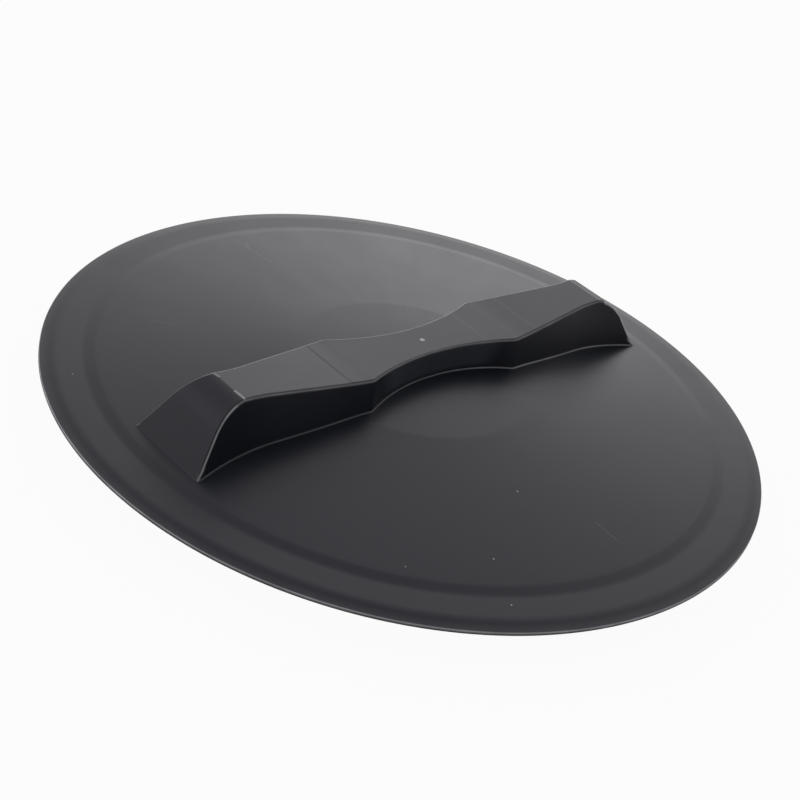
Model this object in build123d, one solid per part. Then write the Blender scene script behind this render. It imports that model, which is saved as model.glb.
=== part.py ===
"""Screw-in lid for a water tank's manhole, moulded in one piece from black polyethylene.

A thin plate rises as a flat cone to a shallow disc at the centre. A hollow bar handle, waisted at the middle
and flared at both ends, rises from it. Outside the plate are a soft step down, a nearly flat flange and a rim
that turns down. Below it hangs a skirt with a coarse right-hand thread, which screws into the tank's collar.

Millimetres. Heights are measured from the plane in which the flange seats on the collar. The finished lid is
then lifted by the skirt's depth, so its origin is on its axis in the plane of the skirt's bottom edge, on which
it stands. +Z points up, away from the tank, and the handle lies along X.

The thread sets how wide the lid is: the skirt lies inside it, the shoulder, step, flange and rim follow outwards
one after another, and the plate and the handle follow inwards. Heights are chained in the same way, from the
rim's lip up to the handle's crests.
"""
import os
from math import cos, radians, sin, sqrt, tan

from build123d import *

# Thread and the skirt that carries it
thread_radius = 205.0
thread_height = 3.5
thread_pitch = 8.0
thread_crest = 1.8
thread_flank = 1.5
thread_top = 3.0
thread_bottom_margin = 1.5
thread_root_overlap = 0.8
skirt_wall = 3.5
skirt_depth = 20.0

# Shallow conical relief under the flange, over the thread, which leaves a flat land to seat on
relief_clearance = 2.0
relief_depth = 0.8

# Widths of the bands outside the plate, outwards from its shoulder, which lies over the skirt
shoulder_inset = 5.0
step_width = 9.0
flange_width = 16.0
rim_width = 10.0

# Heights of those bands, inwards from the rim's lip
lip_height = 2.4
lip_bevel_width = 1.2
lip_bevel_height = 1.4
rim_fall = 1.7
flange_fall = 0.8
step_fall = 1.3

# Plate: a flat cone, and a shallow domed disc that meets it in a faint crease
wall = 3.2
slope_rise = 11.6
disc_radius = 79.0
disc_crown = 2.3

# Handle, seen from above: half widths are at the height of its two crests
waist_half_width = 14.2
neck_half_length = 63.0
slim_half_width = 15.2
slim_inset = 46.6
taper_angle = 6.73
flare_radius = 117.0

# How far the walls, which lean out more along the tapers, change that outline down to the seat's plane
waist_lean = 2.0
slim_lean = 9.7
taper_angle_loss = 1.73
flare_radius_gain = 53.0

# Handle, seen from the side
grip_height = 18.7
crest_rise = 4.6
crest_rise_offset = 6.0
crest_inset = 37.6
handle_end_inset = 6.4
end_angle = 57.0
end_round_height = 14.4
handle_wall = 3.2
handle_edge_rounding = 1.6

# Cross ribs inside the handle
rib_distances = (43.0, 83.0)
rib_thickness = 2.4
rib_depth = 11.6

# Mark of the moulding gate at the middle of the handle
gate_radius = 1.6
gate_height = 0.35

# Radii that follow, outwards and then inwards
skirt_radius = thread_radius - thread_height
skirt_inner_radius = skirt_radius - skirt_wall
relief_radius = thread_radius + relief_clearance
shoulder_radius = thread_radius - shoulder_inset
flange_radius = shoulder_radius + step_width
flange_outer_radius = flange_radius + flange_width
rim_radius = flange_outer_radius + rim_width

# Heights that follow, from the rim's lip upwards
flange_outer_height = lip_height + rim_fall
flange_height = flange_outer_height + flange_fall
shoulder_height = flange_height + step_fall
disc_edge_height = shoulder_height + slope_rise
disc_centre_height = disc_edge_height + disc_crown
neck_top_height = disc_centre_height + grip_height
crest_height = neck_top_height + crest_rise

# Distances along the handle that follow
end_foot_distance = shoulder_radius - handle_end_inset
crest_distance = end_foot_distance - crest_inset
slim_distance = end_foot_distance - slim_inset

# The handle's outline where its walls would reach the seat's plane
foot_waist_half_width = waist_half_width + waist_lean
foot_slim_half_width = slim_half_width + slim_lean
foot_taper_angle = taper_angle - taper_angle_loss
foot_flare_radius = flare_radius + flare_radius_gain


def outer_section():
    """Half section of all that the lid's outside encloses: plate, flange and filled skirt."""
    with BuildSketch(Plane.XZ) as section:
        with BuildLine():
            TangentArc((0, disc_centre_height), (disc_radius, disc_edge_height), tangent=(1, 0))
            Polyline(
                (disc_radius, disc_edge_height),
                (shoulder_radius, shoulder_height),
                (flange_radius, flange_height),
                (flange_outer_radius, flange_outer_height),
                (rim_radius - lip_bevel_width, lip_height),
                (rim_radius, lip_height - lip_bevel_height),
                (rim_radius, 0),
                (relief_radius, 0),
                (skirt_radius, relief_depth),
                (skirt_radius, -skirt_depth),
                (0, -skirt_depth),
                (0, disc_centre_height),
            )
        make_face()
    return section.sketch


def inner_section():
    """Half section of the space under the plate and inside the skirt, beside the axis."""
    with BuildSketch(Plane.XZ) as section:
        with BuildLine():
            Polyline(
                (0, disc_centre_height - wall),
                (disc_radius, disc_edge_height - wall),
                (skirt_inner_radius, shoulder_height - wall),
                (skirt_inner_radius, -skirt_depth),
                (0, -skirt_depth),
                close=True,
            )
        make_face()
    return section.sketch


def handle_plan(waist_width, slim_width, taper_angle, flare_radius):
    """Outline of the handle from above, from its half widths at the waist and at its ends' slimmest point."""
    slim = (slim_distance, slim_width)
    # The straight taper runs from the neck's corner and meets the flare's arc without a kink.
    taper = radians(taper_angle)
    taper_end = (slim_distance - flare_radius * sin(taper), slim_width + flare_radius * (1 - cos(taper)))
    neck = (neck_half_length, taper_end[1] + (taper_end[0] - neck_half_length) * tan(taper))
    end = end_foot_distance + shoulder_height
    flare_end = (end, slim_width + flare_radius - sqrt(flare_radius**2 - (end - slim_distance) ** 2))
    with BuildSketch() as plan:
        with BuildLine():
            TangentArc((0, waist_width), neck, tangent=(1, 0))
            Line(neck, taper_end)
            ThreePointArc(taper_end, slim, flare_end)
            Line(flare_end, (end, 0))
            mirror(about=Plane.XZ)
            mirror(about=Plane.YZ)
        make_face()
    return plan.sketch


def handle_side(inset):
    """Outline of the handle from the side, drawn in by the inset: level middle, rising tops, steep ends."""
    # The top starts to rise a little outside the neck's corners, so a fold and a corner never share one point.
    neck_top = (neck_half_length + crest_rise_offset, neck_top_height - inset)
    crest = (crest_distance - inset / 2, crest_height - inset)
    slope = tan(radians(end_angle))
    foot = end_foot_distance - inset / sin(radians(end_angle)) + shoulder_height / slope
    straight_height = crest_height - end_round_height
    straight_top = (foot - straight_height / slope, straight_height)
    with BuildSketch(Plane.XZ) as side:
        with BuildLine():
            Polyline((0, neck_top[1]), neck_top, crest)
            TangentArc(straight_top, crest, tangent=(-1, slope))
            Polyline(straight_top, (foot, 0), (0, 0))
            mirror(about=Plane.YZ)
        make_face()
    return side.sketch


def handle_block(inset):
    """The handle's leaning walls, drawn in by the inset and cut off by its side outline."""
    foot = handle_plan(
        foot_waist_half_width - inset, foot_slim_half_width - inset, foot_taper_angle, foot_flare_radius
    )
    top = handle_plan(waist_half_width - inset, slim_half_width - inset, taper_angle, flare_radius)
    walls = loft([foot, Pos(0, 0, crest_height) * top], ruled=True)
    return walls & extrude(handle_side(inset), amount=rim_radius / 2, both=True)


def rounded_handle():
    """The handle's outer form with its top edges rounded; the folds across its top stay crisp."""
    block = handle_block(0)
    top_edges = [
        edge
        for edge in block.edges()
        if abs(edge.center().Y) > slim_half_width / 2
        and (edge.center().Z > crest_height - end_round_height or abs(edge.center().X) > crest_distance)
        and edge.center().Z > shoulder_height / 2
    ]
    return fillet(top_edges, handle_edge_rounding)


def handle_hollow():
    """The space inside the handle, open below, less the ribs that cross its upper part."""
    hollow = handle_block(handle_wall)
    rib_bottom = neck_top_height - handle_wall - rib_depth
    ribs = [
        Pos(side * distance, 0, rib_bottom + crest_height / 2) * Box(rib_thickness, rim_radius / 2, crest_height)
        for distance in rib_distances
        for side in (-1, 1)
    ]
    return hollow - ribs


def thread_ridge():
    """Right-hand trapezoid ridge round the skirt, run out square at the top and at the skirt's bottom edge."""
    base = skirt_radius - thread_root_overlap
    tip = thread_radius + thread_root_overlap
    flank = thread_flank * (tip - base) / thread_height
    low = -skirt_depth - thread_pitch
    path = Helix(pitch=thread_pitch, height=skirt_depth + thread_pitch, radius=base, center=(0, 0, low))
    with BuildSketch(Plane.XZ) as profile:
        with Locations((base, low)):
            Polygon(
                (0, -thread_crest / 2 - flank),
                (tip - base, -thread_crest / 2),
                (tip - base, thread_crest / 2),
                (0, thread_crest / 2 + flank),
                align=None,
            )
    ridge = sweep(profile.sketch, path=path, is_frenet=True)
    length = skirt_depth - thread_top - thread_bottom_margin
    band = Cylinder(thread_radius, length, align=(Align.CENTER, Align.CENTER, Align.MAX))
    return ridge & Pos(0, 0, -thread_top) * band


def lid():
    """The whole lid as one solid."""
    body = revolve(outer_section(), axis=Axis.Z) + rounded_handle()
    body += Pos(0, 0, neck_top_height) * Cylinder(gate_radius, 2 * gate_height)
    body -= revolve(inner_section(), axis=Axis.Z)
    body -= handle_hollow()
    return Pos(0, 0, skirt_depth) * (body + thread_ridge())


def main():
    """Writes the lid's solid."""
    os.makedirs("parts", exist_ok=True)
    export_step(lid(), "parts/lid.step")


main()
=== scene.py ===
"""Looks of the screw-in tank lid: one closed mesh with true roundings in place of the plain solid, satin black
moulded plastic with faint flow marks and scuffs, pale edge lines that are painted highlights and partly wear,
painted light on the handle's neck walls, a pale floor and a soft studio sky, bright behind the lid."""
from math import ceil, cos, pi, radians, sin, sqrt, tan

import bmesh
import bpy
import numpy as np
from mathutils import Matrix, Vector


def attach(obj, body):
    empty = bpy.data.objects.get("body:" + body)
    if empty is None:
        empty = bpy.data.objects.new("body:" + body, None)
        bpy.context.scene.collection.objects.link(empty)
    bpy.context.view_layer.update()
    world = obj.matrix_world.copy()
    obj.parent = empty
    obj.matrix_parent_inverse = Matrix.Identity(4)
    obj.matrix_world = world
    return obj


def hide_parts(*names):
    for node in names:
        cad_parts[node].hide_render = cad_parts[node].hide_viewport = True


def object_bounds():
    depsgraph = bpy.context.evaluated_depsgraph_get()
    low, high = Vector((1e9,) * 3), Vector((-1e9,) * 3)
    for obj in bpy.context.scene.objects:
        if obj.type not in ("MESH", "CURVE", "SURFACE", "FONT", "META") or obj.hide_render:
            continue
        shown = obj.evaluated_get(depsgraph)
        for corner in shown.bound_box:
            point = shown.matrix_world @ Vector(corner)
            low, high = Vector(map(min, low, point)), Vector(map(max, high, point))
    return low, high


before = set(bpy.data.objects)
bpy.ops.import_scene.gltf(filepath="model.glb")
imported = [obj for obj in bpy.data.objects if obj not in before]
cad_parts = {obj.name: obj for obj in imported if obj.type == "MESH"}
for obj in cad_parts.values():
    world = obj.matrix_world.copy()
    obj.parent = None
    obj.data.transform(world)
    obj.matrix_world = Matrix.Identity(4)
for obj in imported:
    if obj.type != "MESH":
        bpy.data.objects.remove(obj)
cad_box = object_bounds()

# Sizes in millimetres. Heights are measured from the seat plane, which lies a skirt's depth above the origin.
MM = 0.001
SKIRT_DEPTH = 20.0
RIM_RADIUS = min(-cad_box[0][0], cad_box[1][0], -cad_box[0][1], cad_box[1][1]) / MM

# Half section of the lid's upper face: radius and height of its corners, which are rounded by these radii
DISC_RADIUS = 79.0
DISC_EDGE_HEIGHT = 17.8
DISC_CROWN = 2.3
DISC_CENTRE_HEIGHT = DISC_EDGE_HEIGHT + DISC_CROWN
CREASE_START = 60.0
SHOULDER = (201.6, 6.1)
FLANGE = (208.6, 4.75)
FLANGE_OUTER = (226.5, 4.0)
LIP_HEIGHT = 2.2
LIP_CHAMFER = 0.35
CREASE_ROUNDING = 30.0
SHOULDER_ROUNDING = 28.0
FLANGE_ROUNDING = 26.0
RIM_TURN_ROUNDING = 32.0
LIP_ROUNDING = 0.6

# Underside
RELIEF_RADIUS = 207.0
RELIEF_DEPTH = 0.8
RELIEF_ROUNDING = 0.4
SKIRT_RADIUS = 201.5
SKIRT_INNER_RADIUS = 198.0
SKIRT_EDGE = 0.5
SKIRT_ROOT_ROUNDING = 2.0
WALL = 3.2

THREAD_HEIGHT = 3.5
THREAD_PITCH = 8.0
THREAD_TOP = -3.0
THREAD_BOTTOM = -18.5
THREAD_START = -28.0
THREAD_TURNS = 4
# Half section of the thread's ridge: distance along the axis from its middle, and how far it stands out
THREAD_HALF_SECTION = ((0.0, THREAD_HEIGHT), (1.05, THREAD_HEIGHT), (1.35, 3.2), (2.6, 0.25), (2.95, 0.0),
                       (THREAD_PITCH / 2, 0.0))

# Outlines of the handle from above: half width at the waist and at the slimmest point of the ends, angle of
# the taper between, and radius of the flare. The foot's outline is where the walls would reach the seat plane.
TOP_OUTLINE = (14.2, 15.2, radians(6.73), 117.0)
FOOT_OUTLINE = (15.6, 24.9, radians(5.0), 170.0)
FOOT_SWELL = 1.4
FOOT_SWELL_DISTANCE = 104.0
FOOT_SWELL_LENGTH = 34.0
NECK_HALF_LENGTH = 63.0
NECK_CORNER_SOFTNESS = 0.35
SLIM_DISTANCE = 147.0
FLARE_REACH = 60.0
SOFTNESS_LIMIT = 60.0

# The handle from the side
NECK_TOP_HEIGHT = 38.8
WAIST_DIP = 0.6
CREST_HEIGHT = 43.4
CREST_DISTANCE = 156.0
RISE_DISTANCE = 69.0
RISE_SOFTNESS = 4.0
RISE_SOFTNESS_FADE = 20.0
END_FOOT_DISTANCE = 193.6
END_SLOPE = tan(radians(57.0))
END_ROUND_HEIGHT = 14.4
EDGE_ROUNDING = 1.6
EDGE_FULL_HEIGHT = 4 * EDGE_ROUNDING
FOOT_ROUNDING = 0.9
FOOT_ROUNDING_SHARE = 0.45
END_FOOT_ROUNDING = 0.5
END_FOOT_SPREAD = 1.01

# Faint steps across the handle's top over its ribs: distance along it, and rise towards +X
SINK_STEPS = ((-79.0, 0.06), (43.0, -0.03), (86.0, -0.03))
SINK_LENGTH = 35.0
SINK_EDGE = 0.6
RIB_DISTANCES = (-83.0, -43.0, 43.0, 83.0)
RIB_THICKNESS = 2.4
RIB_BOTTOM_HEIGHT = 24.0
RIB_BITE = WALL / 4

# Mark of the moulding gate, with its half section as shares of its radius and height
GATE_RADIUS = 1.5
GATE_HEIGHT = 0.16
GATE_BASE_DEPTH = 0.3
GATE_SECTION = ((1.0, 0.4), (0.8, 0.9), (0.45, 1.0))
GATE_SIDES = 20

# The pale line on the handle's roundings, a painted highlight where the rounding catches light and partly worn
# plastic: turn from the top towards the wall, and its spread, in degrees
NEAR_LINE_ANGLE = 58.0
FAR_LINE_ANGLE = 44.0
EDGE_LINE_SPREAD = 18.0
WIDE_LINE_SPREAD = 42.0
# The same line along the handle's foot and on the rim's lip, by places and spreads in millimetres
FOOT_LINE_LIFT = 0.3
FOOT_LINE_OFFSET = -0.2
FOOT_LINE_REACH = 0.6
FOOT_LINE_LEAST_HEIGHT = 5.0
FOOT_LINE_END = END_FOOT_DISTANCE - 2.0
RIM_LINE_RADIUS = RIM_RADIUS - 0.1
RIM_LINE_RADIUS_SPREAD = 0.45
RIM_LINE_HEIGHT = LIP_HEIGHT - 0.2
RIM_LINE_HEIGHT_SPREAD = 0.35
# The line on the roundings keeps to them and off the plate. Where the handle's outline from the side falls
# more steeply than END_TOP_SLOPE, it is an end.
EDGE_LINE_REACH = 1.02 * EDGE_ROUNDING
EDGE_LINE_OUTSIDE = -0.5
EDGE_LINE_LIFT = 0.4
END_TOP_SLOPE = -0.3
# How strong those pale lines are, painted highlight and wear together: at the handle's ends, along its two
# sides, along its foot and round the rim
END_EDGE_HIGHLIGHT_WEAR = 1.0
RIGHT_END_EDGE_HIGHLIGHT_WEAR = 1.9
NEAR_EDGE_HIGHLIGHT_WEAR = 0.5
FAR_EDGE_HIGHLIGHT_WEAR = 1.0
FAR_END_EDGE_HIGHLIGHT_WEAR = 0.4
LEFT_FOOT_HIGHLIGHT_WEAR = 0.15
RIGHT_FOOT_HIGHLIGHT_WEAR = 0.55
FOOT_HIGHLIGHT_WEAR_LENGTH = 60.0
RIM_EDGE_HIGHLIGHT_WEAR = 1.0

# Fineness of the mesh: steps in millimetres, places of loops as shares of the way, and angles. The loops start
# along the handle and have become rings round the axis at SPLIT_RADIUS.
TOP_STEP = 3.4
FINE_STEP = 0.5
FINE_STEPS = 4
CREST_ARC_POINTS = 13
CREST_SHARE = 0.985
END_SHARES = (0.3, 0.6, 0.85, 0.97, 1.0)
END_COLUMNS = 18
ACROSS_SHARES = np.concatenate(((-1, -0.985), np.linspace(-0.93, 0.93, END_COLUMNS - 3), (0.985, 1)))
EDGE_ANGLES = np.radians((15, 30, 45, 60, 75, 90))
WALL_SHARES = (0.03, 0.25, 0.5, 0.75, 0.97, 1.0)
FOOT_SHARES = (0.2, 0.4, 0.6, 0.8, 1.0)
DISC_SHARES = (0.03, 0.15, 0.3, 0.48, 0.66, 0.83, 0.96, 1.0)
CONE_SHARES = (0.012, 0.03, *np.linspace(0.07, 1, 22))
CEILING_SHARES = np.linspace(0, 1, 12)[1:-1]
HOLLOW_SHARES = (0.0, 0.04, 0.35, 0.65, 0.96, 1.0)
SPLIT_RADIUS = 198.0
SPLIT_MARGIN = 0.2
EDGE_MARGIN = 0.3
LIP_MARGIN = 0.1
END_RAY_ANGLE = radians(10.5)
CORNER_STEP = radians(1.5)
ROOT_STEP = radians(15.0)
HEIGHT_ROUNDS = 5
MERGE_DISTANCE = 0.004
SHARP_ANGLE = radians(38.0)


def rounded(points, radii, step):
    """The polyline through the points, with an arc of the given radius in place of each inner corner."""
    path = [np.array(points[0], float)]
    for before, corner, after, radius in zip(points, points[1:], points[2:], radii):
        corner = np.array(corner, float)
        come = corner - before
        come /= np.linalg.norm(come)
        go = np.array(after, float) - corner
        go /= np.linalg.norm(go)
        turn = np.arccos(np.clip(come @ go, -1, 1))
        reach = radius * tan(turn / 2)
        count = max(2, ceil(turn / step))
        side = 1 if come[0] * go[1] - come[1] * go[0] > 0 else -1
        inward = side * np.array((-come[1], come[0]))
        centre = corner - reach * come + radius * inward
        for i in range(count + 1):
            angle = turn * i / count
            path.append(centre + radius * (sin(angle) * come - cos(angle) * inward))
    path.append(np.array(points[-1], float))
    return np.array(path)


def upper_line():
    """Half section of the upper face outside the dome. One more point keeps the lip's pale line, a painted
    highlight, narrow.
    """
    start = (CREASE_START, DISC_CENTRE_HEIGHT - DISC_CROWN * (CREASE_START / DISC_RADIUS) ** 2)
    corners = (start, (DISC_RADIUS, DISC_EDGE_HEIGHT), SHOULDER, FLANGE, FLANGE_OUTER,
               (RIM_RADIUS, LIP_HEIGHT), (RIM_RADIUS, LIP_CHAMFER))
    radii = (CREASE_ROUNDING, SHOULDER_ROUNDING, FLANGE_ROUNDING, RIM_TURN_ROUNDING, LIP_ROUNDING)
    line = rounded(corners, radii, CORNER_STEP)
    lip_start = RIM_RADIUS - LIP_ROUNDING - LIP_MARGIN
    lip_point = (lip_start, np.interp(lip_start, line[:, 0], line[:, 1]))
    return np.insert(line, np.searchsorted(line[:-2, 0], lip_start), lip_point, axis=0)


UPPER_LINE = upper_line()
LOWER_LINE = np.array(((0, DISC_CENTRE_HEIGHT - WALL), (DISC_RADIUS, DISC_EDGE_HEIGHT - WALL),
                       (SKIRT_INNER_RADIUS, SHOULDER[1] - WALL)))


def plate_height(r):
    """Height of the lid's upper face, without the handle, at a radius."""
    r = np.asarray(r, float)
    dome = DISC_CENTRE_HEIGHT - DISC_CROWN * (r / DISC_RADIUS) ** 2
    return np.where(r < CREASE_START, dome, np.interp(r, UPPER_LINE[:, 0], UPPER_LINE[:, 1]))


def underside_height(r):
    """Height of the plate's lower face at a radius inside the skirt."""
    return np.interp(r, LOWER_LINE[:, 0], LOWER_LINE[:, 1])


def outline_width(x, waist, slim, taper, flare):
    """Half width of one of the handle's outlines at the distances x along it."""
    taper_start = SLIM_DISTANCE - flare * sin(taper)
    taper_width = slim + flare * (1 - cos(taper))
    straight = taper_width + (taper_start - x) * tan(taper)
    neck_rise = taper_width + (taper_start - NECK_HALF_LENGTH) * tan(taper) - waist
    neck_radius = (NECK_HALF_LENGTH**2 + neck_rise**2) / (2 * neck_rise)
    neck = waist + neck_radius - np.sqrt(np.maximum(neck_radius**2 - x**2, 0))
    end = slim + flare - np.sqrt(flare**2 - np.clip(x - SLIM_DISTANCE, -FLARE_REACH, FLARE_REACH) ** 2)
    gap = np.clip((straight - neck) / NECK_CORNER_SOFTNESS, -SOFTNESS_LIMIT, SOFTNESS_LIMIT)
    soft = straight - NECK_CORNER_SOFTNESS * np.log1p(np.exp(gap))
    return np.where(x < taper_start, soft, end)


def half_width(x, z):
    """Half width of the handle at a distance along it and a height: its walls run straight down to the foot."""
    x = np.abs(np.asarray(x, float))
    top = outline_width(x, *TOP_OUTLINE)
    foot = outline_width(x, *FOOT_OUTLINE)
    foot = foot + FOOT_SWELL * np.exp(-((x - FOOT_SWELL_DISTANCE) / FOOT_SWELL_LENGTH) ** 2)
    return top + (foot - top) * (1 - np.asarray(z, float) / CREST_HEIGHT)


def top_line(inset, crest):
    """Points x and z of the handle's top from its middle to the crest: level, a soft fold, then rising."""
    xs = list(np.linspace(0, CREST_DISTANCE, int(CREST_DISTANCE / TOP_STEP)))
    for centre in (NECK_HALF_LENGTH, RISE_DISTANCE, *(abs(distance) for distance, rise in SINK_STEPS)):
        xs += [centre + FINE_STEP * k for k in range(-FINE_STEPS, FINE_STEPS + 1)]
    xs = np.array(sorted(xs + [CREST_DISTANCE - FINE_STEP]))
    xs = xs[np.concatenate(((True,), np.diff(xs) > FINE_STEP / 3))]
    rising = np.maximum(xs - RISE_DISTANCE, 0)
    xs -= rising * (CREST_DISTANCE - crest[0]) / (CREST_DISTANCE - RISE_DISTANCE)
    slope = (crest[1] - (NECK_TOP_HEIGHT - inset)) / (crest[0] - RISE_DISTANCE)
    ahead = np.clip((xs - RISE_DISTANCE) / RISE_SOFTNESS, -SOFTNESS_LIMIT, SOFTNESS_LIMIT)
    soft = RISE_SOFTNESS * np.log1p(np.exp(ahead))
    fade = np.clip((crest[0] - xs) / RISE_SOFTNESS_FADE, 0, 1)
    run = soft * fade + np.maximum(xs - RISE_DISTANCE, 0) * (1 - fade)
    return list(zip(xs, NECK_TOP_HEIGHT - inset + run * slope))


def side_outline(inset, surface, foot_lift):
    """The handle's outline from the side as points x and z, from foot to foot over the top.

    The points are as many for every inset. The last ones lie foot_lift up the end's slope from the surface.
    """
    crest = (CREST_DISTANCE - inset / 2, CREST_HEIGHT - inset)
    slant = sqrt(1 + END_SLOPE**2)
    ground = END_FOOT_DISTANCE - inset * slant / END_SLOPE + SHOULDER[1] / END_SLOPE
    straight_height = CREST_HEIGHT - END_ROUND_HEIGHT
    straight_top = (ground - straight_height / END_SLOPE, straight_height)
    foot_height = float(surface(END_FOOT_DISTANCE))
    foot = (ground - foot_height / END_SLOPE - foot_lift / slant, foot_height + foot_lift * END_SLOPE / slant)
    # The end's arc starts along the straight slope and runs up to the crest.
    back = np.array(crest) - straight_top
    along = np.array((-1, END_SLOPE)) / slant
    inward = np.array((-END_SLOPE, -1)) / slant
    radius = back @ back / (2 * back @ inward)
    centre = np.array(straight_top) + radius * inward
    sweep = 2 * np.arctan2(back @ inward, back @ along)
    angles = (sweep * CREST_SHARE, *np.linspace(sweep, 0, CREST_ARC_POINTS)[1:])
    arc = [centre + radius * (np.sin(angle) * along - np.cos(angle) * inward) for angle in angles]
    end = [np.array(straight_top) + (np.array(foot) - straight_top) * share for share in END_SHARES]
    half = np.array(top_line(inset, crest) + arc + end)
    return np.concatenate((half[:0:-1] * (-1, 1), half))


def side_loop(side, ends):
    """One loop round the handle from the points of its +Y side, which it mirrors, and those of its two ends.

    It goes up the end at +X, back along +Y, down the end at -X and forth along -Y.
    """
    mirrored = side * (1, -1, 1)
    return np.concatenate((mirrored[-1:], ends[1], side[::-1], ends[0][::-1], mirrored[:-1]))


def across_grid(x, half, z):
    """Grid over the handle's top or its hollow's ceiling, from -Y to +Y, and the inner points of both ends."""
    grid = np.stack([np.column_stack((x, share * half, z)) for share in ACROSS_SHARES], axis=1)
    return grid, (grid[0, 1:-1], grid[-1, 1:-1])


def on_surface(flat, surface):
    """Points in plan, lifted on to a surface that is given by its height at a radius."""
    return np.column_stack((flat, surface(np.hypot(flat[:, 0], flat[:, 1]))))


def meeting_height(x, surface, inset):
    """Height at which the handle's walls, drawn in by the inset, meet a surface, at the distances x."""
    height = surface(np.hypot(x, half_width(x, CREST_HEIGHT) - inset))
    for _ in range(HEIGHT_ROUNDS):
        height = surface(np.hypot(x, half_width(x, height) - inset))
    return height


def ray_angles(x):
    """Angle round the axis to which each point of a loop runs out; x is the outline of the handle's side."""
    end = np.linspace(-END_RAY_ANGLE, END_RAY_ANGLE, END_COLUMNS + 1)
    side = END_RAY_ANGLE + (pi - 2 * END_RAY_ANGLE) * (x[-1] - x[::-1]) / (2 * x[-1])
    half_turn = np.concatenate((end[:-1], side[:-1]))
    return np.concatenate((half_turn, half_turn + pi))


def handle_outside():
    """The grid over the handle's top, loops from its edge down on to the plate, and their ray angles."""
    outline = side_outline(0.0, plate_height, END_FOOT_ROUNDING)
    x = outline[:, 0]
    z = outline[:, 1] - WAIST_DIP * np.clip(1 - (x / NECK_HALF_LENGTH) ** 2, 0, 1)
    width = half_width(x, z)
    share = np.clip((z - plate_height(np.hypot(x, width))) / EDGE_FULL_HEIGHT, 0, 1)
    edge = EDGE_ROUNDING * share * share * (3 - 2 * share)
    slope = np.gradient(outline, axis=0)
    normal = np.stack((-slope[:, 1], slope[:, 0]), 1)
    normal /= np.linalg.norm(normal, axis=1)[:, None]
    sink = -sum(rise * np.exp(-np.abs(x - distance) / SINK_LENGTH) * np.tanh((x - distance) / SINK_EDGE)
                for distance, rise in SINK_STEPS)
    grid, ends = across_grid(x, width - edge, z - sink)
    rows = [side_loop(np.column_stack((x, width - edge, z - sink)), ends)]
    for angle in EDGE_ANGLES:
        depth = edge * (1 - cos(angle))
        px = x - normal[:, 0] * depth
        pz = z - normal[:, 1] * depth - sink * cos(angle)
        py = half_width(px, pz) - edge * (1 - sin(angle))
        rows.append(side_loop(np.column_stack((px, py, pz)), ends))
    foot_z = meeting_height(px, plate_height, 0.0)
    lift = np.minimum(FOOT_ROUNDING, FOOT_ROUNDING_SHARE * np.maximum(pz - foot_z, 0))
    for share in WALL_SHARES:
        wall_z = pz + (foot_z + lift - pz) * share
        rows.append(side_loop(np.column_stack((px, half_width(px, wall_z), wall_z)), ends))
    # Small rounding from the wall out on to the plate
    foot_y = half_width(px, foot_z)
    lean = np.gradient(foot_y) / np.where(np.abs(np.gradient(px)) > 1e-6, np.gradient(px), 1)
    out = np.stack((-lean, np.ones_like(lean)), 1) / np.sqrt(1 + lean**2)[:, None]
    start = rows[-1]
    corner = side_loop(np.column_stack((px, foot_y, foot_z)), ends)
    onward = lift[:, None] * out
    landing = side_loop(np.column_stack((px + onward[:, 0], foot_y + onward[:, 1], foot_z)), ends)
    foot_x = END_FOOT_DISTANCE + (SHOULDER[1] - plate_height(END_FOOT_DISTANCE)) / END_SLOPE
    minus_end = len(x) - 1 + END_COLUMNS
    for first, sign in ((0, 1), (minus_end, -1)):
        part = slice(first, first + END_COLUMNS + 1)
        corner[part, 0] = sign * foot_x
        landing[part, 0] = sign * (foot_x + END_FOOT_ROUNDING)
        corner[part, 1] = start[part, 1]
        landing[part, 1] = start[part, 1] * END_FOOT_SPREAD
    corner = on_surface(corner[:, :2], plate_height)
    landing = on_surface(landing[:, :2], plate_height)
    rows += [(1 - s) ** 2 * start + 2 * s * (1 - s) * corner + s * s * landing for s in FOOT_SHARES]
    return grid, rows, ray_angles(x)


def plate_rows(begin, angles):
    """Loops out over the plate from the handle's foot, one of which runs on the crease round the disc."""
    ray = SPLIT_RADIUS * np.stack((np.cos(angles), np.sin(angles)), 1) - begin
    # Share of each ray at which it crosses the crease, 0 where it starts outside it: a quadratic equation
    a = (ray**2).sum(1)
    b = (begin * ray).sum(1)
    c = (begin**2).sum(1) - DISC_RADIUS**2
    crease = np.where(c < 0, (-b + np.sqrt(np.maximum(b * b - a * c, 0))) / a, 0)
    shares = [crease * share for share in DISC_SHARES]
    shares += [crease + (1 - crease) * share for share in CONE_SHARES]
    return [on_surface(begin + ray * share[:, None], plate_height) for share in shares]


def rings(places, angles):
    """Round loops at the radii and heights of the places."""
    return [np.column_stack((r * np.cos(angles), r * np.sin(angles), np.full(len(angles), height)))
            for r, height in places]


def thread_rows(angles):
    """Open rows over the thread's ridge, from the top down; each climbs by the pitch in its turn."""
    section = np.array(THREAD_HALF_SECTION)
    section = np.concatenate((section[:0:-1] * (-1, 1), section))
    around = np.append(angles, angles[0] + 2 * pi)
    climb = THREAD_START + THREAD_PITCH * around / (2 * pi)
    rows = []
    for turn in range(THREAD_TURNS):
        for offset in section[:-1, 0]:
            height = np.clip(climb + THREAD_PITCH * turn + offset, THREAD_BOTTOM, THREAD_TOP)
            phase = (height - climb + THREAD_PITCH / 2) % THREAD_PITCH - THREAD_PITCH / 2
            r = SKIRT_RADIUS + np.interp(phase, section[:, 0], section[:, 1])
            rows.append(np.column_stack((r * np.cos(around), r * np.sin(around), height)))
    return rows[::-1]


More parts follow.
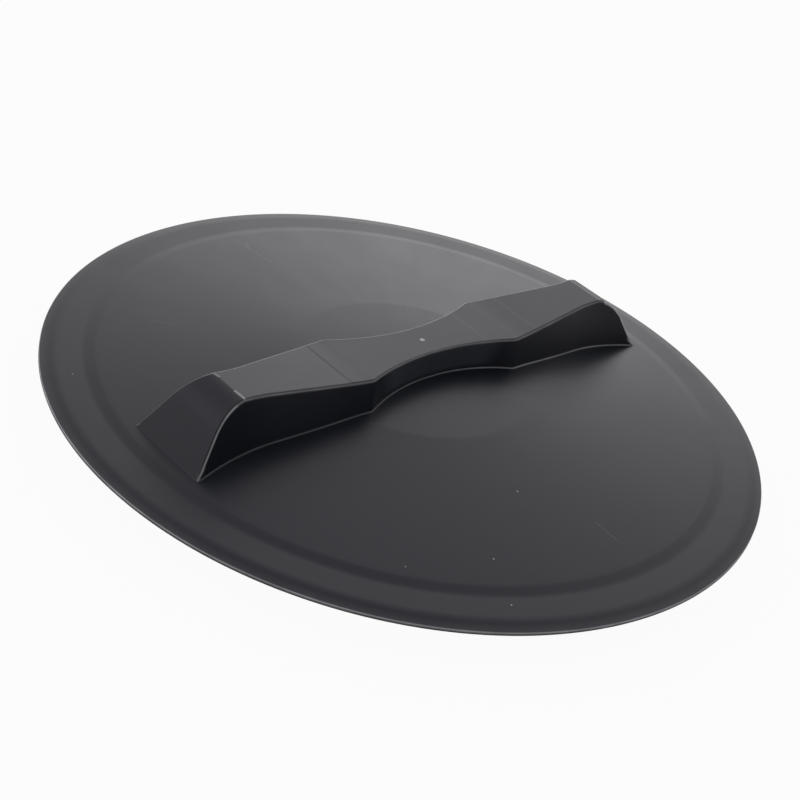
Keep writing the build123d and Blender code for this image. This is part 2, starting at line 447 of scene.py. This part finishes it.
def handle_inside(skirt_row):
    """Loops from the skirt's root over the underside and up the hollow's walls, and the ceiling's grid."""
    outline = side_outline(WALL, underside_height, 0.0)
    x, z = outline.T
    grid, ends = across_grid(x, half_width(x, z) - WALL, z)
    mouth_z = np.minimum(meeting_height(x, underside_height, WALL), z)
    mouth = side_loop(np.column_stack((x, half_width(x, mouth_z) - WALL, mouth_z)), ends)
    begin = skirt_row[:, :2]
    rows = [on_surface(begin + (mouth[:, :2] - begin) * share, underside_height) for share in CEILING_SHARES]
    for share in HOLLOW_SHARES:
        wall_z = mouth_z + (z - mouth_z) * share
        rows.append(side_loop(np.column_stack((x, half_width(x, wall_z) - WALL, wall_z)), ends))
    return rows, grid


def lid_sheets():
    """The lid as sheets of rows of points, each with whether its rows are closed loops."""
    top, rows, angles = handle_outside()
    rows += plate_rows(rows[-1][:, :2], angles)
    outside = [point for point in UPPER_LINE if point[0] > SPLIT_RADIUS + SPLIT_MARGIN]
    outside += [
        (RIM_RADIUS - LIP_CHAMFER, 0),
        (RELIEF_RADIUS + EDGE_MARGIN, 0),
        (RELIEF_RADIUS, 0),
        (SKIRT_RADIUS + RELIEF_ROUNDING, RELIEF_DEPTH - RELIEF_ROUNDING / 8),
        (SKIRT_RADIUS, RELIEF_DEPTH - RELIEF_ROUNDING),
        (SKIRT_RADIUS, THREAD_TOP + EDGE_MARGIN),
        (SKIRT_RADIUS, THREAD_TOP),
    ]
    rows += rings(outside, angles)
    skirt_foot = (SKIRT_INNER_RADIUS, SKIRT_EDGE - SKIRT_DEPTH)
    root = rounded((skirt_foot, LOWER_LINE[2], LOWER_LINE[1]), (SKIRT_ROOT_ROUNDING,), ROOT_STEP)
    inside = [
        (SKIRT_RADIUS, THREAD_BOTTOM),
        (SKIRT_RADIUS, SKIRT_EDGE - SKIRT_DEPTH),
        (SKIRT_RADIUS - SKIRT_EDGE, -SKIRT_DEPTH),
        (SKIRT_INNER_RADIUS + SKIRT_EDGE, -SKIRT_DEPTH),
        skirt_foot,
        *root[1:-1],
    ]
    inner_rows = rings(inside, angles)
    hollow_rows, ceiling = handle_inside(inner_rows[-1])
    # The thread's rows are open, so the loops on both sides of it are repeated as open rows.
    above, below = (np.append(row, row[:1], axis=0) for row in (rows[-1], inner_rows[0]))
    thread = [above, *thread_rows(angles), below]
    return (top, False), (rows, True), (thread, False), (inner_rows + hollow_rows, True), (ceiling, False)


def add_ribs(bm):
    """The cross ribs in the handle's hollow, which reach a little into its walls and ceiling."""
    for distance in RIB_DISTANCES:
        top = np.interp(abs(distance), (0, RISE_DISTANCE, CREST_DISTANCE),
                        (NECK_TOP_HEIGHT, NECK_TOP_HEIGHT, CREST_HEIGHT))
        corners = []
        for height in (RIB_BOTTOM_HEIGHT, float(top) - WALL + RIB_BITE):
            half = float(half_width(distance, height)) - WALL + RIB_BITE
            for sx, sy in ((-1, -1), (1, -1), (1, 1), (-1, 1)):
                place = Vector((distance + sx * RIB_THICKNESS / 2, sy * half, height + SKIRT_DEPTH))
                corners.append(bm.verts.new(place * MM))
        for quad in ((3, 2, 1, 0), (4, 5, 6, 7), (0, 1, 5, 4), (1, 2, 6, 5), (2, 3, 7, 6), (3, 0, 4, 7)):
            bm.faces.new([corners[i] for i in quad])


def add_gate_mark(bm):
    """The low round button that the moulding gate left at the middle of the handle."""
    base = NECK_TOP_HEIGHT - WAIST_DIP + SKIRT_DEPTH
    levels = [(GATE_RADIUS, base - GATE_BASE_DEPTH)]
    levels += [(GATE_RADIUS * wide, base + GATE_HEIGHT * high) for wide, high in GATE_SECTION]
    turns = [2 * pi * k / GATE_SIDES for k in range(GATE_SIDES)]
    loops = [[bm.verts.new(Vector((r * cos(turn), r * sin(turn), height)) * MM) for turn in turns]
             for r, height in levels]
    for low, high in zip(loops, loops[1:]):
        for k in range(GATE_SIDES):
            after = (k + 1) % GATE_SIDES
            bm.faces.new((low[k], low[after], high[after], high[k]))
    bm.faces.new(loops[0][::-1])
    bm.faces.new(loops[-1])


def edge_highlight_and_wear(places):
    """How pale each vertex is, by painted highlight lines that partly stand for worn plastic: on the handle's
    upper roundings, along its foot and on the rim's lip.
    """
    x, y, z = places.T
    r = np.hypot(x, y)
    lift = z - plate_height(r)
    outline = side_outline(0.0, plate_height, END_FOOT_ROUNDING)
    outline = outline[len(outline) // 2:]
    slope = np.interp(np.abs(x), outline[:, 0], np.gradient(outline[:, 1], outline[:, 0]))
    below = (np.interp(np.abs(x), outline[:, 0], outline[:, 1]) - z) / np.sqrt(1 + slope**2)
    aside = half_width(x, z) - np.abs(y)
    # The handle's upper edges: the far one lies at +Y, and the right end at +X.
    far = y > 0
    at_end = slope < END_TOP_SLOPE
    on_edge = (aside > EDGE_LINE_OUTSIDE) & (np.maximum(aside, below) < EDGE_LINE_REACH)
    on_edge &= lift > EDGE_LINE_LIFT
    angle = np.degrees(np.arctan2(EDGE_ROUNDING - aside, EDGE_ROUNDING - below))
    middle = np.where(far, FAR_LINE_ANGLE, NEAR_LINE_ANGLE)
    spread = np.where(at_end & ~far & (x > 0), WIDE_LINE_SPREAD, EDGE_LINE_SPREAD)
    near_end_highlight_wear = np.where(x > 0, RIGHT_END_EDGE_HIGHLIGHT_WEAR, END_EDGE_HIGHLIGHT_WEAR)
    end_highlight_wear = np.where(far, FAR_END_EDGE_HIGHLIGHT_WEAR, near_end_highlight_wear)
    side_highlight_wear = np.where(far, FAR_EDGE_HIGHLIGHT_WEAR, NEAR_EDGE_HIGHLIGHT_WEAR)
    line = np.exp(-((angle - middle) / spread) ** 2)
    handle = np.where(on_edge, line * np.where(at_end, end_highlight_wear, side_highlight_wear), 0)
    # The rim's lip
    rim_gap = (r - RIM_LINE_RADIUS) / RIM_LINE_RADIUS_SPREAD
    rim_lift = (z - RIM_LINE_HEIGHT) / RIM_LINE_HEIGHT_SPREAD
    rim = RIM_EDGE_HIGHLIGHT_WEAR * np.exp(-(rim_gap**2) - rim_lift**2)
    # The handle's foot, a painted highlight line, paler towards +X
    on_foot = (np.abs(aside - FOOT_LINE_OFFSET) < FOOT_LINE_REACH) & (z > FOOT_LINE_LEAST_HEIGHT)
    on_foot &= np.abs(x) < FOOT_LINE_END
    turn = np.tanh(x / FOOT_HIGHLIGHT_WEAR_LENGTH)
    foot_highlight_wear = (LEFT_FOOT_HIGHLIGHT_WEAR * (1 - turn) + RIGHT_FOOT_HIGHLIGHT_WEAR * (1 + turn)) / 2
    foot = np.exp(-((lift - FOOT_LINE_LIFT) / FOOT_LINE_LIFT) ** 2) * on_foot * foot_highlight_wear
    return np.maximum.reduce((handle, rim, foot))


def lid_mesh():
    """The whole lid as one closed mesh, with the ribs in its hollow and the gate's mark."""
    points = []
    faces = []
    base = 0
    for sheet, closed in lid_sheets():
        sheet = np.asarray(sheet)
        high, wide = sheet.shape[:2]
        points.append(sheet.reshape(-1, 3))
        for i in range(high - 1):
            for j in range(wide if closed else wide - 1):
                k = (j + 1) % wide
                low, up = base + i * wide, base + (i + 1) * wide
                faces.append((low + j, low + k, up + k, up + j))
        base += high * wide
    mesh = bpy.data.meshes.new("lid_moulding")
    places = np.concatenate(points) + (0, 0, SKIRT_DEPTH)
    mesh.from_pydata((places * MM).tolist(), [], faces)
    bm = bmesh.new()
    bm.from_mesh(mesh)
    bmesh.ops.remove_doubles(bm, verts=bm.verts, dist=MERGE_DISTANCE * MM)
    add_ribs(bm)
    add_gate_mark(bm)
    bmesh.ops.recalc_face_normals(bm, faces=bm.faces)
    bm.to_mesh(mesh)
    bm.free()
    places = np.array([vertex.co for vertex in mesh.vertices]) / MM - (0, 0, SKIRT_DEPTH)
    # Pale lines along the edges: painted highlights, partly worn plastic
    mesh.attributes.new("edge_highlight_wear", "FLOAT", "POINT").data.foreach_set("value", edge_highlight_and_wear(places))
    mesh.shade_smooth()
    mesh.set_sharp_from_angle(angle=SHARP_ANGLE)
    return mesh


# Plastic: base tones, a paler tone painted on the neck's walls as painted light, pale tone of the edge lines
# (painted highlights, partly wear) and of scuffs, and gloss
BASE_DARK = (0.006, 0.0102, 0.0172, 1)
BASE_LIGHT = (0.0095, 0.0138, 0.0212, 1)
NECK_PAINTED_LIGHT = (0.055, 0.065, 0.08, 1)
PALE_HIGHLIGHT_AND_SCUFF = (0.82, 0.83, 0.86, 1)
SPECULAR_TINT = (0.98, 0.91, 1.0, 1)
ROUGHNESS = 0.34
ROUGHNESS_SPREAD = 0.09
PALE_ROUGHNESS = 0.2
EDGE_HIGHLIGHT_WEAR_LEAST = 0.55

# Where the painted light on the neck's walls comes in: along and across the handle, by height, and by how level
# the face is
NECK_LIGHT_LENGTH = (NECK_HALF_LENGTH + 8, NECK_HALF_LENGTH - 12)
NECK_LIGHT_WIDTH = (23.0, 19.0)
NECK_LIGHT_HEIGHT = (DISC_CENTRE_HEIGHT + 0.5, DISC_CENTRE_HEIGHT + 4)
NECK_LIGHT_LEVEL = (0.6, 0.3)

# Patterns: scale per millimetre, number of finer layers and how strong they are. The streaks' scale is over
# the direction from the gate, with the distance from it shrunk.
MOTTLE = (0.011, 3.0, 0.5)
STREAKS = (7.0, 4.0, 0.6)
STREAK_SHRINK = 0.0022
GRAIN = (0.9, 3.0, 0.7)
HIGHLIGHT_WEAR_PATCHES = (0.045, 3.0, 0.6)
HIGHLIGHT_WEAR_PATCH_RANGE = (0.3, 0.7)
WAVES = (0.035, 2.0, 0.5)
PEEL = (0.35, 2.0, 0.5)
MOTTLE_SHARE = 0.6
# How high three of them stand in the surface, in millimetres
WAVE_HEIGHT = 0.08
PEEL_HEIGHT = 0.004
GRAIN_HEIGHT = 0.0025

# Small marks on the moulding in millimetres from one end to the other, half width, and how pale they are
MARKS = (
    ((-133.6, -140.7, 6.8), (-133.4, -140.7, 6.8), 0.5, 0.5),
    ((-29.4, -124.7, 13.1), (-29.2, -124.5, 13.1), 0.6, 0.6),
    ((-83.7, -160.0, 8.1), (-83.5, -160.0, 8.1), 0.6, 0.8),
    ((-99.1, -190.8, 4.5), (-99.0, -190.6, 4.5), 0.6, 0.8),
    ((-195.4, 93.0, 4.4), (-195.2, 93.2, 4.4), 0.6, 0.5),
    ((-79.0, -24.6, 22.0), (-78.0, -24.4, 23.0), 0.5, 0.5),
    ((-111.6, -27.0, 24.0), (-110.5, -27.0, 25.4), 0.5, 0.45),
    ((-2.1, -164.8, 9.6), (-0.7, -181.9, 8.0), 0.35, 0.1),
    ((-75.5, -27.3, 17.9), (-70.6, -38.6, 17.9), 0.3, 0.14),
    ((-120.1, 122.1, 9.0), (-107.3, 107.5, 10.8), 0.4, 0.05),
    ((4.0, 194.9, 6.7), (5.0, 154.1, 10.6), 0.8, 0.05),
    ((9.0, 188.0, 7.4), (4.0, 178.0, 8.4), 1.6, 0.04),
    ((-156.3, 15.6, 43.2), (-155.3, 10.4, 43.3), 1.4, 0.28),
    ((-155.6, -6.0, 43.3), (-155.4, -14.2, 43.2), 1.3, 0.42),
    ((0.0, 0.0, 38.3), (0.3, 0.0, 38.3), 2.1, 1.0),
)
# Share of a mark's half width that is fully pale, and how its paleness follows the grain: gain and least
MARK_CORE = 0.35
MARK_GRAIN = (1.2, 0.4)


def add_math(nodes, operation, *values):
    """A math node of the operation, with each value set on its socket or linked to it."""
    node = nodes.new("ShaderNodeMath")
    node.operation = operation
    for socket, value in zip(node.inputs, values):
        if isinstance(value, (int, float)):
            socket.default_value = value
        else:
            node.id_data.links.new(value, socket)
    return node.outputs[0]


def add_vector(nodes, operation, *values):
    """A vector math node of the operation, with each value set on its socket or linked to it."""
    node = nodes.new("ShaderNodeVectorMath")
    node.operation = operation
    sockets = [node.inputs["Scale"] if operation == "SCALE" and i == 1 else node.inputs[i]
               for i in range(len(values))]
    for socket, value in zip(sockets, values):
        if isinstance(value, (int, float, tuple)):
            socket.default_value = value
        else:
            node.id_data.links.new(value, socket)
    return node


def add_noise(nodes, vector, pattern):
    """Noise over the vector, as a value about 0.5; the pattern is its scale, detail and roughness."""
    node = nodes.new("ShaderNodeTexNoise")
    for name, value in zip(("Scale", "Detail", "Roughness"), pattern):
        node.inputs[name].default_value = value
    node.id_data.links.new(vector, node.inputs["Vector"])
    return node.outputs["Fac"]


def add_ramp(nodes, value, start, end, smooth=False, least=0.0):
    """The value as a share of the way from start to end, kept between least and 1."""
    node = nodes.new("ShaderNodeMapRange")
    node.interpolation_type = "SMOOTHSTEP" if smooth else "LINEAR"
    node.inputs["From Min"].default_value = start
    node.inputs["From Max"].default_value = end
    node.inputs["To Min"].default_value = least
    node.id_data.links.new(value, node.inputs["Value"])
    return node.outputs[0]


def add_mix(nodes, share, first, second):
    """The colour that lies by the share between the first and the second, each a colour or an output."""
    node = nodes.new("ShaderNodeMix")
    node.data_type = "RGBA"
    node.id_data.links.new(share, node.inputs[0])
    for socket, colour in ((node.inputs[6], first), (node.inputs[7], second)):
        if isinstance(colour, tuple):
            socket.default_value = colour
        else:
            node.id_data.links.new(colour, socket)
    return node.outputs[2]


def add_mark(nodes, place, start, end, radius):
    """1 on the line from start to end, falling to 0 at the radius from it."""
    start, end = Vector(start), Vector(end)
    along = end - start
    offset = add_vector(nodes, "SUBTRACT", place, tuple(start)).outputs["Vector"]
    share = add_vector(nodes, "DOT_PRODUCT", offset, tuple(along / along.length_squared)).outputs["Value"]
    node = nodes.new("ShaderNodeClamp")
    node.id_data.links.new(share, node.inputs["Value"])
    near = add_vector(nodes, "SCALE", tuple(along), node.outputs[0]).outputs["Vector"]
    gap = add_vector(nodes, "DISTANCE", offset, near).outputs["Value"]
    return add_ramp(nodes, gap, radius, radius * MARK_CORE, smooth=True)


def highlight_and_wear_share(nodes, place, grain):
    """How pale the plastic is: along its edges, where the pale lines are painted highlights and partly wear,
    broken in patches, and on its small marks.
    """
    edge_line_node = nodes.new("ShaderNodeAttribute")
    edge_line_node.attribute_name = "edge_highlight_wear"
    noise = add_noise(nodes, place, HIGHLIGHT_WEAR_PATCHES)
    patches = add_ramp(nodes, noise, *HIGHLIGHT_WEAR_PATCH_RANGE, least=EDGE_HIGHLIGHT_WEAR_LEAST)
    pale = add_math(nodes, "MULTIPLY", edge_line_node.outputs["Fac"], patches)
    broken = add_math(nodes, "MULTIPLY_ADD", grain, *MARK_GRAIN)
    for start, end, half, strength in MARKS:
        mark = add_math(nodes, "MULTIPLY", add_mark(nodes, place, start, end, half), broken)
        pale = add_math(nodes, "MAXIMUM", pale, add_math(nodes, "MULTIPLY", mark, strength))
    return pale


def painted_neck_light_share(nodes, axes):
    """1 on the walls of the handle's neck, where light is painted to make them paler, falling to 0 around."""
    normal = nodes.new("ShaderNodeSeparateXYZ")
    normal.id_data.links.new(nodes.new("ShaderNodeNewGeometry").outputs["Normal"], normal.inputs[0])
    along = add_math(nodes, "ABSOLUTE", axes.outputs[0])
    across = add_math(nodes, "ABSOLUTE", axes.outputs[1])
    level = add_math(nodes, "ABSOLUTE", normal.outputs[2])
    share = add_ramp(nodes, along, *NECK_LIGHT_LENGTH, smooth=True)
    for value, span in ((across, NECK_LIGHT_WIDTH), (axes.outputs[2], NECK_LIGHT_HEIGHT), (level, NECK_LIGHT_LEVEL)):
        share = add_math(nodes, "MULTIPLY", share, add_ramp(nodes, value, *span))
    return share


def moulding_material():
    """Satin black polyethylene: mottling, flow streaks from the gate, fine grain, pale edge lines (painted
    highlights, partly wear), marks, and painted light on the neck's walls.
    """
    mat = bpy.data.materials.new("black_polyethylene")
    mat.use_nodes = True
    nodes, links = mat.node_tree.nodes, mat.node_tree.links
    shader = nodes["Principled BSDF"]
    metres = nodes.new("ShaderNodeTexCoord").outputs["Object"]
    place = add_vector(nodes, "SCALE", metres, 1 / MM).outputs["Vector"]
    place = add_vector(nodes, "SUBTRACT", place, (0.0, 0.0, SKIRT_DEPTH)).outputs["Vector"]
    axes = nodes.new("ShaderNodeSeparateXYZ")
    links.new(place, axes.inputs[0])
    # The streaks' own space: direction from the gate, and the distance from it, shrunk
    flat = add_vector(nodes, "MULTIPLY", place, (1.0, 1.0, 0.0)).outputs["Vector"]
    direction = nodes.new("ShaderNodeSeparateXYZ")
    links.new(add_vector(nodes, "NORMALIZE", flat).outputs["Vector"], direction.inputs[0])
    radial = nodes.new("ShaderNodeCombineXYZ")
    links.new(direction.outputs[0], radial.inputs[0])
    links.new(direction.outputs[1], radial.inputs[1])
    radius = add_vector(nodes, "LENGTH", flat).outputs["Value"]
    links.new(add_math(nodes, "MULTIPLY", radius, STREAK_SHRINK), radial.inputs[2])
    mottle = add_noise(nodes, place, MOTTLE)
    streaks = add_noise(nodes, radial.outputs[0], STREAKS)
    grain = add_noise(nodes, place, GRAIN)
    # Colour
    pale = highlight_and_wear_share(nodes, place, grain)
    tone = add_math(nodes, "MULTIPLY", streaks, 1 - MOTTLE_SHARE)
    tone = add_math(nodes, "MULTIPLY_ADD", mottle, MOTTLE_SHARE, tone)
    colour = add_mix(nodes, tone, BASE_DARK, BASE_LIGHT)
    # Painted light: the walls of the handle's neck are made paler, as if more light fell on them
    colour = add_mix(nodes, painted_neck_light_share(nodes, axes), colour, NECK_PAINTED_LIGHT)
    # Painted highlights: the pale lines along the edges, mixed in with the pale scuffs and marks
    links.new(add_mix(nodes, pale, colour, PALE_HIGHLIGHT_AND_SCUFF), shader.inputs["Base Color"])
    # Gloss
    rough = add_math(nodes, "MULTIPLY_ADD", mottle, ROUGHNESS_SPREAD, ROUGHNESS - ROUGHNESS_SPREAD)
    rough = add_math(nodes, "MULTIPLY_ADD", streaks, ROUGHNESS_SPREAD, rough)
    links.new(add_math(nodes, "MULTIPLY_ADD", pale, PALE_ROUGHNESS, rough), shader.inputs["Roughness"])
    shader.inputs["Specular Tint"].default_value = SPECULAR_TINT
    # Fine relief
    height = add_math(nodes, "MULTIPLY", add_noise(nodes, place, WAVES), WAVE_HEIGHT)
    height = add_math(nodes, "MULTIPLY_ADD", add_noise(nodes, place, PEEL), PEEL_HEIGHT, height)
    height = add_math(nodes, "MULTIPLY_ADD", grain, GRAIN_HEIGHT, height)
    bump = nodes.new("ShaderNodeBump")
    bump.inputs["Strength"].default_value = 1.0
    bump.inputs["Distance"].default_value = MM
    links.new(height, bump.inputs["Height"])
    links.new(bump.outputs[0], shader.inputs["Normal"])
    return mat


lid = bpy.data.objects.new("lid_moulding", lid_mesh())
bpy.context.scene.collection.objects.link(lid)
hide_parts("lid")
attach(lid, "root")
lid.data.materials.append(moulding_material())

CAMERA_PLACE = Vector((-0.6814, -0.5654, 0.5486))
CAMERA_TARGET = Vector((-0.0199, -0.0117, 0.0247))
CAMERA_ROLL = radians(14.88)
CAMERA_LENS = 71.73
CAMERA_SENSOR = 36.0


def add_camera():
    """The photo's camera, which is rolled a little."""
    data = bpy.data.cameras.new("camera")
    data.lens = CAMERA_LENS
    data.sensor_width = CAMERA_SENSOR
    camera = bpy.data.objects.new("camera", data)
    bpy.context.scene.collection.objects.link(camera)
    back = (CAMERA_PLACE - CAMERA_TARGET).normalized()
    right = Vector((0, 0, 1)).cross(back).normalized()
    roll = Matrix.Rotation(CAMERA_ROLL, 3, back)
    basis = Matrix((roll @ right, roll @ back.cross(right), back)).transposed()
    camera.matrix_world = Matrix.Translation(CAMERA_PLACE) @ basis.to_4x4()
    bpy.context.scene.camera = camera


add_camera()
bpy.context.scene.view_settings.view_transform = "Standard"

# Soft lights of the studio: direction by azimuth and elevation in degrees, sharpness of its edge, and strength
SOFT_LIGHTS = (
    (40.0, 3.0, 14.0, 0.82),
    (40.0, 22.0, 14.0, 1.02),
    (10.0, 22.0, 14.0, 0.08),
    (85.0, 3.0, 14.0, 0.12),
    (70.0, 22.0, 14.0, 0.06),
    (100.0, 22.0, 14.0, 0.7),
    (130.0, 3.0, 14.0, 0.25),
    (130.0, 22.0, 14.0, 0.46),
    (160.0, 3.0, 14.0, 0.13),
    (-80.0, 3.0, 14.0, 0.22),
    (-5.0, 45.0, 9.0, 0.43),
    (60.0, 55.0, 9.0, 0.24),
    (130.0, 45.0, 9.0, 0.33),
)
SKY_FILL = 0.165
FLOOR_GLOW = 0.955
FLOOR_SIZE = 6.0
FLOOR_COLOUR = (0.8, 0.8, 0.8, 1)
FLOOR_ROUGHNESS = 0.9


def seen_directly(nodes):
    """1 for what the camera sees straight on; 0 for light on the object and for what its gloss mirrors."""
    return nodes.new("ShaderNodeLightPath").outputs["Is Camera Ray"]


def studio_world():
    """A sky of wide soft lights on a faint fill; the camera sees plain white there."""
    world = bpy.data.worlds.new("studio")
    world.use_nodes = True
    nodes, links = world.node_tree.nodes, world.node_tree.links
    direction = nodes.new("ShaderNodeTexCoord").outputs["Generated"]
    total = SKY_FILL
    for azimuth, elevation, sharpness, strength in SOFT_LIGHTS:
        a, e = radians(azimuth), radians(elevation)
        towards = (cos(e) * cos(a), cos(e) * sin(a), sin(e))
        closeness = add_vector(nodes, "DOT_PRODUCT", direction, towards).outputs["Value"]
        glow = add_math(nodes, "EXPONENT", add_math(nodes, "MULTIPLY_ADD", closeness, sharpness, -sharpness))
        total = add_math(nodes, "MULTIPLY_ADD", glow, strength, total)
    level = nodes.new("ShaderNodeMix")
    level.data_type = "FLOAT"
    links.new(seen_directly(nodes), level.inputs[0])
    links.new(total, level.inputs[2])
    level.inputs[3].default_value = 1.0
    background = nodes["Background"]
    background.inputs["Color"].default_value = (1, 1, 1, 1)
    links.new(level.outputs[0], background.inputs["Strength"])
    return world


def floor_material():
    """White studio floor that keeps a faint shadow."""
    mat = bpy.data.materials.new("floor")
    mat.use_nodes = True
    nodes, links = mat.node_tree.nodes, mat.node_tree.links
    shader = nodes["Principled BSDF"]
    shader.inputs["Base Color"].default_value = FLOOR_COLOUR
    shader.inputs["Roughness"].default_value = FLOOR_ROUGHNESS
    shader.inputs["Specular IOR Level"].default_value = 0.0
    glow = nodes.new("ShaderNodeEmission")
    mix = nodes.new("ShaderNodeMixShader")
    links.new(add_math(nodes, "MULTIPLY", seen_directly(nodes), FLOOR_GLOW), mix.inputs[0])
    links.new(shader.outputs[0], mix.inputs[1])
    links.new(glow.outputs[0], mix.inputs[2])
    links.new(mix.outputs[0], nodes["Material Output"].inputs["Surface"])
    return mat


bpy.context.scene.world = studio_world()
bpy.ops.mesh.primitive_plane_add(size=FLOOR_SIZE, location=(0, 0, 0))
floor = bpy.context.object
floor.name = "floor"
floor.data.materials.append(floor_material())
